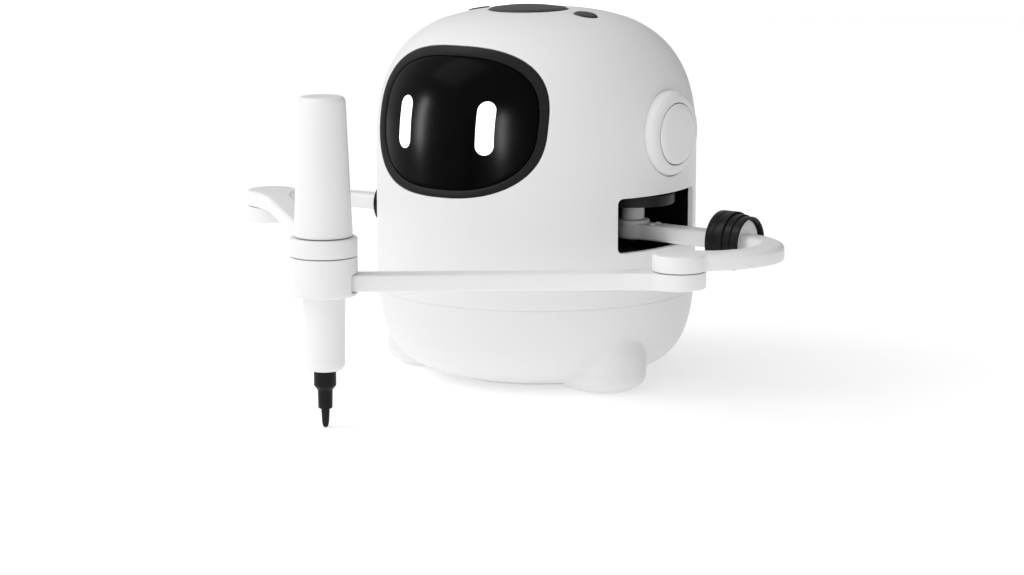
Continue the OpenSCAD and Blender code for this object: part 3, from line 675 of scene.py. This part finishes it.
# ---- ears and buttons ----------------------------------------------------------------
# the inner end stays clear of the gear teeth, which reach x = 62.9 when the arms lift
ring_profile = rounded([(9.2, 63.3), (EAR_R, 63.3, 0.3), (EAR_R, 66.6, 0.6), (16.9, 68.7, 1.6),
                        (15.2, 70.0, 2.4), (12.95, 70.45, 0.35), (12.95, 67.55, 0.2), (9.2, 67.55)], 7)
cap_profile = rounded([(0, 61), (8.8, 61, 0.3), (8.8, 67.65, 0.2), (12.5, 67.65, 0.2),
                       (12.5, 70.75, 0.7), (10.6, 71.55, 3), (6, 71.95, 6), (0, 72.1)], 7)
for side, word in SIDES:
    ring = lathe(ring_profile, 160, "x", (0, EAR_Y, EAR_Z), closed=True, side=side)
    build("ear_ring_" + word + "_turned", [ring], "white_plastic", "body", ("ear_ring_" + word,), sharp=40)
    cap = lathe(cap_profile, 160, "x", (0, EAR_Y, EAR_Z), side=side)
    build("ear_cap_" + word + "_turned", [cap], "white_plastic", "body", ("ear_cap_" + word,), sharp=40)
# stem, retaining flange under the shell, and the slightly domed top
disc_profile = rounded([(0, 148.8), (2, 148.8), (2, 151.4), (14.6, 151.4), (14.6, 149.6), (18.2, 149.6, 0.2),
                        (18.2, 150.8, 0.2), (16.6, 150.8), (16.6, 155.75, 0.7), (15.2, 156.35, 2),
                        (9, 157.15, 12), (0, 157.4)], 7)
build("crown_disc", [lathe(disc_profile, 160, "z", (0, DISC_Y, 0))], "black_satin", "crown_button",
      ("crown_button",), sharp=40, mat="key_black")


KEY_EDGE = ((4.75, 4.4), (4.75, 0.1), (4.68, -0.2), (4.45, -0.42), (4.05, -0.54), (3.0, -0.62),
            (1.5, -0.64))  # radius, depth


def key_cap(x0):
    """A small round key whose top follows the dome."""
    rings = []
    for r, depth in KEY_EDGE:
        s, th = above(x0 + r * np.cos(turn[::8]), KEY[1] + r * np.sin(turn[::8]))
        rings.append(SKIN.point(s, th, depth))
    return rings_to_mesh(rings)


for side, word in SIDES:
    build("crown_key_" + word, [key_cap(side * KEY[0])], "black_satin", word + "_button",
          ("side_button_" + word,), sharp=40, mat="key_black")


# ---- arms ----------------------------------------------------------------------------
def numeric_gradient(f, p, h=0.02):
    gx = f(p + [h, 0]) - f(p - [h, 0])
    gy = f(p + [0, h]) - f(p - [0, h])
    g = np.stack([gx, gy], 1) / (2 * h)
    return g / np.maximum(np.linalg.norm(g, axis=1), 1e-6)[:, None]


def trace(f, low, high, step=0.8, gap=0.7):
    """The outline where f is zero, as evenly spread points in order."""
    xs, ys = np.arange(low[0], high[0], step), np.arange(low[1], high[1], step)
    X, Y = np.meshgrid(xs, ys, indexing="ij")
    neg = (f(np.stack([X.ravel(), Y.ravel()], 1)) < 0).reshape(X.shape)
    mixed = neg[:-1, :-1].astype(int) + neg[1:, :-1] + neg[:-1, 1:] + neg[1:, 1:]
    cells = {(i, j) for i, j in zip(*np.nonzero((mixed > 0) & (mixed < 4)))}

    def near(c):
        i, j = c
        out = []
        if neg[i, j] != neg[i, j + 1]:
            out.append((i - 1, j))
        if neg[i + 1, j] != neg[i + 1, j + 1]:
            out.append((i + 1, j))
        if neg[i, j] != neg[i + 1, j]:
            out.append((i, j - 1))
        if neg[i, j + 1] != neg[i + 1, j + 1]:
            out.append((i, j + 1))
        return [o for o in out if o in cells]

    best = []
    left = set(cells)
    while left:
        start = min(left)
        path, now, last = [start], start, None
        left.discard(start)
        while True:
            step_to = [o for o in near(now) if o != last and (o in left or (o == start and len(path) > 3))]
            if not step_to:
                break
            last, now = now, step_to[0]
            if now == start:
                break
            left.discard(now)
            path.append(now)
        if len(path) > len(best):
            best = path
    p = np.array([[xs[i] + step / 2, ys[j] + step / 2] for i, j in best])
    for _ in range(2):
        for _ in range(4):
            p = p - numeric_gradient(f, p) * f(p)[:, None]
        q = np.vstack([p, p[:1]])
        d = np.concatenate([[0], np.cumsum(np.linalg.norm(np.diff(q, axis=0), axis=1))])
        u = np.linspace(0, d[-1], int(d[-1] / gap), endpoint=False)
        p = np.stack([np.interp(u, d, q[:, 0]), np.interp(u, d, q[:, 1])], 1)
    for _ in range(3):
        p = p - numeric_gradient(f, p) * f(p)[:, None]
    return p


def slab(f, low, high, z0, z1, round_low, round_high, steps=6):
    """A flat bar of outline f = 0 with rounded edges; the radii may vary over the outline."""
    base = trace(f, low, high)
    rings = []
    rl = round_low(base) if callable(round_low) else np.full(len(base), round_low)
    rh = round_high(base) if callable(round_high) else np.full(len(base), round_high)

    def drawn_in(t):
        p = base.copy()
        for _ in range(4):
            p = p - numeric_gradient(f, p) * (f(p) + t)[:, None]
        return p

    for k in range(steps + 1):
        a = math.pi / 2 * (1 - k / steps)
        p = drawn_in(rl * (1 - math.cos(a)))
        rings.append(np.column_stack([p, z0 + rl * (1 - math.sin(a))]))
    for k in range(steps + 1):
        a = math.pi / 2 * k / steps
        p = drawn_in(rh * (1 - math.cos(a)))
        rings.append(np.column_stack([p, z1 - rh * (1 - math.sin(a))]))
    return rings_to_mesh(rings)


def circle(c, r):
    return lambda p: np.hypot(p[:, 0] - c[0], p[:, 1] - c[1]) - r


def ribbon(path, widths):
    """Distance to a band about a path, of half width given along it."""
    path, widths = np.array(path, float), np.array(widths, float)

    def f(p):
        best = np.full(len(p), 1e9)
        for a, b, wa, wb in zip(path, path[1:], widths, widths[1:]):
            d = b - a
            t = np.clip(((p - a) @ d) / (d @ d), 0, 1)
            q = p - a - t[:, None] * d
            best = np.minimum(best, np.hypot(q[:, 0], q[:, 1]) - (wa + (wb - wa) * t))
        return best
    return f


def box2(x0, x1, y0, y1, r=0.0):
    def f(p):
        dx = np.abs(p[:, 0] - (x0 + x1) / 2) - (x1 - x0) / 2 + r
        dy = np.abs(p[:, 1] - (y0 + y1) / 2) - (y1 - y0) / 2 + r
        return np.minimum(np.maximum(dx, dy), 0) + np.hypot(np.maximum(dx, 0), np.maximum(dy, 0)) - r
    return f


def join(k, *fs):
    def f(p):
        d = fs[0](p)
        for g in fs[1:]:
            d = smooth_min(d, g(p), k)
        return d
    return f


def mirror_part(part, side):
    v, f = part
    v = np.array(v)
    v[:, 0] *= side
    return v, f


def bezier(p, k=24):
    p = np.array(p, float)
    t = np.linspace(0, 1, k + 1)[:, None]
    return (1 - t) ** 3 * p[0] + 3 * (1 - t) ** 2 * t * p[1] + 3 * (1 - t) * t * t * p[2] + t ** 3 * p[3]


GEAR_TEETH, TOOTH_HALF = 60, 0.48
hub_profile = rounded([(0, 59.6), (3.8, 59.6, 0.5), (3.8, 61.15, 0.15), (2.35, 61.2), (2.35, 69.35),
                       (4.6, 69.35, 0.2), (4.6, 76.3, 0.4), (17.5, 76.3, 0.7), (17.5, 81.0, 0.4),
                       (16.4, 81.0), (16.4, 84.5), (5.5, 84.5), (5.5, 85.1), (4.0, 85.1), (4.0, 95.9, 0.4),
                       (0, 95.9)], 5)
neck_profile = rounded([(4.3, 69.45), (4.85, 69.45, 0.2), (4.85, 76.2, 0.2), (4.3, 76.2)], 3)


def tooth(r, h, a):
    """The gear's rim, which is the part of the hub's profile about 16.4 mm out, cut into teeth."""
    if r < 16.0 or r > 16.6:
        return r
    return r + TOOTH_HALF * max(-1.0, min(1.0, 1.9 * math.cos(a * GEAR_TEETH)))


def edge_of(lo, hi):
    """An edge radius that changes from lo at the elbow's hub to hi along the arm."""
    def f(p):
        near = np.hypot(p[:, 0] - ELBOW[0], p[:, 1] - ELBOW[1])
        t = np.clip((near - 10.8) / 7.0, 0, 1)
        return lo + (hi - lo) * t * t * (3 - 2 * t)
    return f


for side, word in SIDES:
    cx = CUFF_X[side]
    arm_body = word + "_arm"
    # shoulder hub: disc, neck, gear rim and the boss under the arm
    hub = lathe(hub_profile, 480, "z", (side * SHOULDER[0], SHOULDER[1], 0), wave=tooth)
    build("shoulder_hub_" + word, [hub], "dark_grey", arm_body, ("shoulder_gear_" + word,), sharp=35)
    neck = lathe(neck_profile, 72, "z", (side * SHOULDER[0], SHOULDER[1], 0), closed=True)
    build("shoulder_neck_" + word, [neck], "white_arm", arm_body)
    # straight upper arm with its root boss and the flange inside the cuff
    outline = join(3.0, box2(SHOULDER[0], cx + 8, 1.0, 11.0), circle(SHOULDER, 7.0))
    bar = slab(outline, (36, -4), (cx + 12, 16), ARM_LOW, ARM_HIGH, 1.3, 1.5)
    flange_profile = rounded([(0, cx + 1.45), (10.55, cx + 1.45, 0.3), (10.55, cx + 5.8, 0.5),
                              (0, cx + 5.8)], 4)
    flange = lathe(flange_profile, 96, "x", ARM_AXIS)
    boss_profile = rounded([(2.45, 67.2), (7.0, 67.2), (7.0, 69.3, 0.5), (2.45, 69.3)], 4)
    boss = lathe(boss_profile, 72, "z", (*SHOULDER, 0), closed=True)
    stud_profile = rounded([(0, 67.6), (1.25, 67.6), (1.25, 68.5, 0.35), (0, 68.75)], 4)
    studs = [lathe(stud_profile, 32, "z", (57.2, y, 0)) for y in (3.9, 8.1)]
    build("upper_arm_" + word, [mirror_part(p, side) for p in [bar, flange, boss] + studs], "white_arm",
          arm_body, ("arm_inner_" + word,), sharp=45)
    # cuff: flange wall, large ring, groove, small ring with a thin open lip
    cuff = rounded([(7.6, cx), (12.1, cx, 0.7), (12.1, cx + 3.3, 0.15), (11.85, cx + 3.5, 0.1),
                    (11.85, cx + 3.9, 0.1), (12.1, cx + 4.1, 0.15), (12.1, cx + 8.1, 0.5),
                    (11.2, cx + 8.15, 0.2), (11.2, cx + 11.2, 0.35), (10.6, cx + 11.3, 0.15),
                    (10.6, cx + 14.8, 0.3), (9.6, cx + 14.8, 0.25), (9.6, cx + 8.2, 0.1),
                    (10.75, cx + 7.0), (10.75, cx + 1.3), (7.6, cx + 1.3)], 5)
    build("cuff_" + word + "_turned", [lathe(cuff, 144, "x", ARM_AXIS, closed=True, side=side)],
          "black_satin", arm_body, ("cuff_" + word,), sharp=35, mat="cuff_black")
    # hooked outer arm
    path = np.concatenate([bezier([(cx + 6.2, 6.0), ((cx + 108) / 2, 6.0), (108, 5.8), (113, 1.6)], 10),
                           bezier([(113, 1.6), (128, -6), (129, -27), (111.6, -44)], 26)[1:]])
    half = np.concatenate([np.full(11, 5.2), np.linspace(5.2, 5.8, 26)])
    hook = join(1.5, ribbon(path, half), circle(ELBOW, ELBOW_R))
    # the hub's sharper edge is on the side where the forearm lies against it
    low_hub, high_hub = (0.35, 0.9) if side > 0 else (0.9, 0.35)
    low_edge, high_edge = edge_of(low_hub, 0.6), edge_of(high_hub, 2.5)
    arm = slab(hook, (cx - 4, -66), (140, 20), ARM_LOW, ARM_HIGH, low_edge, high_edge)
    plug_profile = rounded([(0, cx + 8.3), (9.4, cx + 8.3, 0.3), (9.4, cx + 12.6, 0.7), (0, cx + 12.6)], 4)
    plug = lathe(plug_profile, 96, "x", ARM_AXIS)
    build("hook_arm_" + word, [mirror_part(p, side) for p in (arm, plug)], "white_arm", arm_body,
          ("arm_outer_" + word,), sharp=45)

# forearms, from the pen's axis to each elbow
length = float(np.linalg.norm(ELBOW - PEN))


def forearm(side, z0, round_low, round_high):
    d = FORE_DIR * [side, 1]
    end = PEN + d * length
    bar = ribbon([PEN + d * 8, PEN + d * (length - 22), PEN + d * (length - 7), end], [5, 5, 7.6, 8.0])

    def outline(p):
        clear = 9.75 - np.hypot(p[:, 0] - PEN[0], p[:, 1] - PEN[1])
        return np.maximum(smooth_min(bar(p), circle(end, ELBOW_R)(p), 3.0), clear)

    low = (min(PEN[0], end[0]) - 14, PEN[1] - 14)
    high = (max(PEN[0], end[0]) + 14, end[1] + 14)
    return slab(outline, low, high, z0, z0 + ARM_T, round_low, round_high)


def by_elbow(side, near_value, far_value):
    def f(p):
        d = np.hypot(p[:, 0] - side * ELBOW[0], p[:, 1] - ELBOW[1])
        t = np.clip((d - 11.5) / 10, 0, 1)
        return near_value + (far_value - near_value) * t
    return f


low_profile = rounded([(9.35, 54.45), (11.2, 54.45, 0.3), (11.2, 60.95, 0.3), (9.35, 60.95)], 3)
ring_low = lathe(low_profile, 96, "z", PEN_AXIS, closed=True)
bar_low = forearm(1, LOW_Z, by_elbow(1, 0.9, 0.9), by_elbow(1, 0.35, 0.9))
build("forearm_left_bar", [bar_low, ring_low], "white_arm", "left_forearm", ("forearm_left",), sharp=45)
high_profile = rounded([(9.35, 68.4), (13.2, 68.4, 0.3), (13.2, 75.5, 0.7), (9.35, 75.5, 0.2),
                        (9.35, 68.4)], 4)
ring_high = lathe(high_profile[:-1], 128, "z", PEN_AXIS, closed=True)
bar_high = forearm(-1, HIGH_Z, by_elbow(-1, 0.35, 0.9), by_elbow(-1, 0.9, 1.2))
build("forearm_right_bar", [bar_high, ring_high], "white_arm", "right_forearm", ("forearm_right",), sharp=45)

# ---- holder and pen ------------------------------------------------------------------
collar_line = np.array(rounded([(13.2, 68.0), (13.2, 52.8, 2.2), (11.7, 52.8)], 10))
dense = []
for a, b in zip(collar_line, collar_line[1:]):
    dense += list(np.linspace(a, b, 40, endpoint=False))
# its arc length counts from above nought, because skin_panel lays the skin out as a flat disc
COLLAR_START = 12.0
collar = Outline(np.array(dense + [collar_line[-1]]), COLLAR_START)
fore_angle = math.atan2(FORE_DIR[1], FORE_DIR[0])
window_y, window_z = round_box(-7.4, 7.4, 53.9, 61.5, 1.2)
window_s = collar.at_z(window_z)
window_turn = fore_angle + np.arcsin(np.clip(window_y / collar.place(window_s)[0], -1, 1))
window = even_loop(collar, window_s, window_turn, 0.5)
verts, faces = skin_panel(collar, COLLAR_START, float(collar.s[-1]) - 0.3, [window], 1.5, 0.3, 0.9, 150)
build("holder_collar", [(verts + PEN_AXIS, faces)], "white_pen", "holder", ("pen_collar", "collar_cap"),
      sharp=45)
sleeve = rounded([(8.4, 53.0), (11.55, 53.0, 0.3), (11.55, 54.1), (9.25, 54.1), (9.25, 75.55, 0.3),
                  (8.4, 75.55)], 4)
build("holder_sleeve", [lathe(sleeve, 96, "z", PEN_AXIS, closed=True)], "white_pen", "holder",
      ("pen_sleeve",))
barrel = rounded([(0, 23.0), (6.0, 23.0, 0.4), (7.1, 23.35, 1.2), (7.9, 25.0, 2.0), (8.2, 48.6, 1),
                  (8.25, 50), (8.25, 80), (0, 80)], 8)
build("pen_barrel_body", [lathe(barrel, 120, "z", PEN_AXIS)], "white_pen", "pen", ("pen_barrel",), sharp=45)
tail = rounded([(8.3, 80.05), (8.3, 75.95), (11.4, 75.95, 0.35), (11.32, 78.0, 3), (9.2, 128.3, 1.7),
                (8.3, 130.0, 1.5), (0, 130.0)], 8)
tail = [(0, 80.05)] + [tuple(p) for p in tail]
build("pen_tail_body", [lathe(tail, 128, "z", PEN_AXIS)], "white_pen", "pen", ("pen_tail",), sharp=45)
holder = rounded([(0, 22.95), (4.4, 22.95), (4.4, 16.9, 0.5), (3.1, 15.2, 0.4), (2.95, 14.7, 0.2),
                  (2.8, 7.9, 0.3), (2.4, 7.6, 0.1), (0, 7.6)], 5)
build("nib_holder_body", [lathe(holder, 72, "z", PEN_AXIS)], "black_satin", "pen", ("nib_holder",), sharp=40)
tip = rounded([(0, 7.55), (1.7, 7.55), (1.38, 2.2, 0.6), (1.1, 0.7, 0.6), (0.55, 0.06, 0.5), (0, 0.0)], 6)
build("nib_tip", [lathe(tip, 48, "z", PEN_AXIS)], "black_felt", "pen", ("nib",), sharp=60)

# ---- carried-over CAD nodes ----------------------------------------------------------
BY_NODE = {
    "base_plate": "white_plastic", "rubber_pads": "black_rubber", "case_screws": "steel",
    "button_board": "board_green", "main_board": "board_green", "battery": "battery_blue",
    "slot_liner_left": "slot_black", "slot_liner_right": "slot_black", "speaker": "speaker_black",
    "chassis": "dark_grey", "carriage": "dark_grey", "rod_bridge": "dark_grey", "guide_rods": "steel",
    "lift_servo": "servo_blue", "lift_pinion": "acetal", "lift_rack": "acetal", "power_inlet": "steel",
    "motor_left": "motor_steel", "motor_right": "motor_steel",
    "motor_pinion_left": "acetal", "motor_pinion_right": "acetal",
    "shoulder_clip_left": "steel", "shoulder_clip_right": "steel",
    "elbow_pin_left": "steel", "elbow_pin_right": "steel",
}
for name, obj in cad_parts.items():
    if obj.hide_render:
        continue
    obj.data.materials.clear()
    obj.data.materials.append(M[BY_NODE[name]])

# ---- floor, light and camera ---------------------------------------------------------
STAGE_TURN, STAGE_REACH = 37.0, 8.0
CAMERA_AT, CAMERA_TILT, CAMERA_HEADING = (0.67633, -0.90969, 0.23922), 79.825, 37.154
CAMERA_LENS = 94.2


def paper(name, shade, glow):
    """Plain matt white paper with a faint tooth."""
    return material(name, (shade, shade, shade), 0.8, spec=0.1, grain=900, height=0.000004, mottle=0.002,
                    emit=(1, 1, 1), glow=glow)


def stage(name, rows, mat):
    """A plain sheet eight metres to each side of the camera's line of sight, through (y, z) rows."""
    c, s = math.cos(math.radians(STAGE_TURN)), math.sin(math.radians(STAGE_TURN))
    verts = [(x * c - y * s, x * s + y * c, z) for y, z in rows for x in (-STAGE_REACH, STAGE_REACH)]
    mesh = bpy.data.meshes.new(name)
    mesh.from_pydata(verts, [], [(2 * i, 2 * i + 1, 2 * i + 3, 2 * i + 2) for i in range(len(rows) - 1)])
    mesh.shade_smooth()
    mesh.materials.append(mat)
    obj = bpy.data.objects.new(name, mesh)
    bpy.context.scene.collection.objects.link(obj)
    return obj


stage("studio_floor", [(-3.0, 0.0), (2.0, 0.0)], paper("floor_paper", 0.88, 0.33))
bend = [(2.0 + 1.5 * math.sin(a), 1.5 - 1.5 * math.cos(a)) for a in np.linspace(0.0, math.pi / 2, 16)]
backdrop = stage("studio_backdrop", bend + [(3.5, 5.0)], paper("backdrop_paper", 0.9, 1.0))
backdrop.visible_diffuse = backdrop.visible_glossy = False

# the room: bright in front and above, falling off to the right and behind
LIGHT_FROM = Vector((-0.36, -0.79, 0.50)).normalized()
ROOM_MEAN, ROOM_SWING = 0.545, 0.68
world = bpy.data.worlds.new("studio")
bpy.context.scene.world = world
world.use_nodes = True
wt = world.node_tree
ray = node(wt, "ShaderNodeTexCoord")
dot = node(wt, "ShaderNodeVectorMath", operation="DOT_PRODUCT")
dot.inputs[1].default_value = LIGHT_FROM
ramp = node(wt, "ShaderNodeMapRange")
ramp.inputs["From Min"].default_value = -1.0
ramp.inputs["From Max"].default_value = 1.0
ramp.inputs["To Min"].default_value = ROOM_MEAN - ROOM_SWING
ramp.inputs["To Max"].default_value = ROOM_MEAN + ROOM_SWING
wt.links.new(ray.outputs["Generated"], dot.inputs[0])
wt.links.new(dot.outputs["Value"], ramp.inputs["Value"])
wt.links.new(ramp.outputs["Result"], wt.nodes["Background"].inputs["Strength"])
wt.nodes["Background"].inputs["Color"].default_value = (1, 1, 1, 1)


def area(name, at, to, size, power, size_y=None, glossy_only=False):
    light = bpy.data.lights.new(name, "AREA")
    light.energy = power
    light.size = size
    if size_y:
        light.shape = "RECTANGLE"
        light.size_y = size_y
    obj = bpy.data.objects.new(name, light)
    bpy.context.scene.collection.objects.link(obj)
    obj.location = at
    obj.rotation_euler = (Vector(to) - Vector(at)).to_track_quat("-Z", "Y").to_euler()
    if glossy_only:
        obj.visible_diffuse = False
    return obj


area("key", (-0.85, -0.75, 1.25), (0, 0, 0.06), 0.8, 4.0)
# two tall strips, seen only as the highlights in the pane
STRIPS = (((-1.01, -0.7, 0.1), 15.0), ((0.275, -1.226, 0.1), 22.0))
strips = [area("pane_strip_" + str(k), at, (0, -0.05, 0.113), 0.1, power, 0.7, glossy_only=True)
          for k, (at, power) in enumerate(STRIPS)]
pane_only = bpy.data.collections.new("pane_only")
pane_only.objects.link(bpy.data.objects["face_visor"])
for strip in strips:
    strip.light_linking.receiver_collection = pane_only

scene = bpy.context.scene
scene.view_settings.view_transform = "Standard"
scene.view_settings.look = "None"
cam_data = bpy.data.cameras.new("camera")
cam_data.sensor_width = 36.0
cam_data.lens = CAMERA_LENS
cam_data.clip_start = 0.05
cam = bpy.data.objects.new("camera", cam_data)
scene.collection.objects.link(cam)
cam.location = CAMERA_AT
cam.rotation_euler = (math.radians(CAMERA_TILT), 0, math.radians(CAMERA_HEADING))
scene.camera = cam
